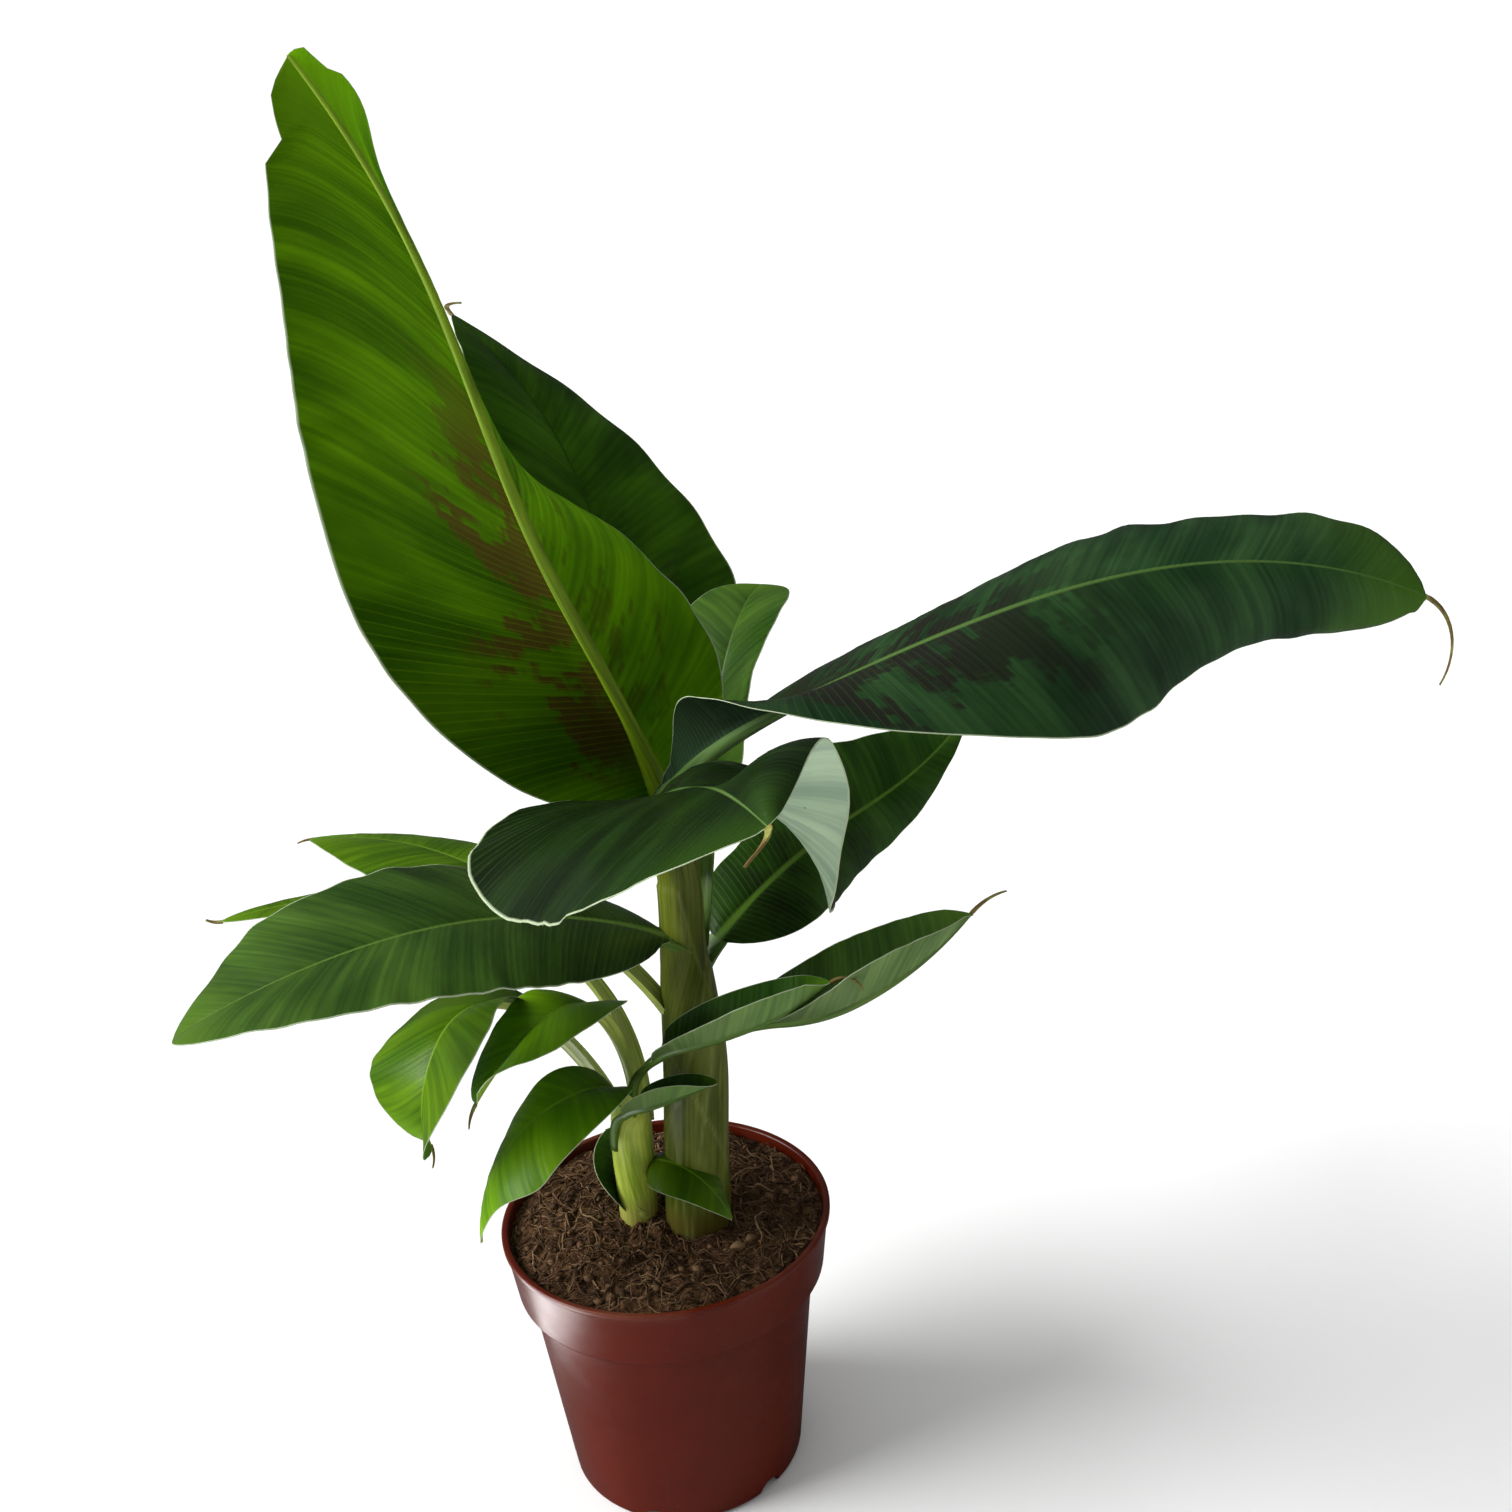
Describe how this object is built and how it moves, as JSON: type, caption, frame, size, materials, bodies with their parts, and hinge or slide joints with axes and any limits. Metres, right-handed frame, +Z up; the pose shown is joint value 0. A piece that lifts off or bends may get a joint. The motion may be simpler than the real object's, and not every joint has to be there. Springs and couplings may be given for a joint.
{
  "type": "potted young banana plant",
  "caption": "Young banana plant with broad leaves and a low side shoot, growing in a round plastic nursery pot.",
  "frame": {"origin": "middle of the pot's flat underside", "axes": "+Z up, +X to the right and +Y to the back as the picture shows the plant"},
  "size_m": [0.4137, 0.3163, 0.5004],
  "materials": {
    "pot": "satin",
    "soil": "rough",
    "stem": "satin",
    "sucker": "satin",
    "leaf": "satin",
    "leaf_lit": "satin"
  },
  "bodies": {
    "root": {"pot": "pot", "soil": "soil", "pseudostem": "stem", "sucker_stem": "sucker", "leaf_tall": "leaf_lit", "leaf_right_long": "leaf", "leaf_back_left": "leaf", "leaf_back_small": "leaf", "leaf_back_right": "leaf", "leaf_front": "leaf", "leaf_left_long": "leaf", "leaf_left_upper": "leaf", "leaf_right_low": "leaf", "leaf_sucker_back": "leaf", "leaf_sucker_outer": "leaf", "leaf_sucker_inner": "leaf", "leaf_sucker_front": "leaf", "leaf_sucker_narrow": "leaf", "leaf_right_narrow": "leaf", "leaf_soil_front": "leaf", "leaf_soil_left": "leaf"}
  },
  "joints": []
}
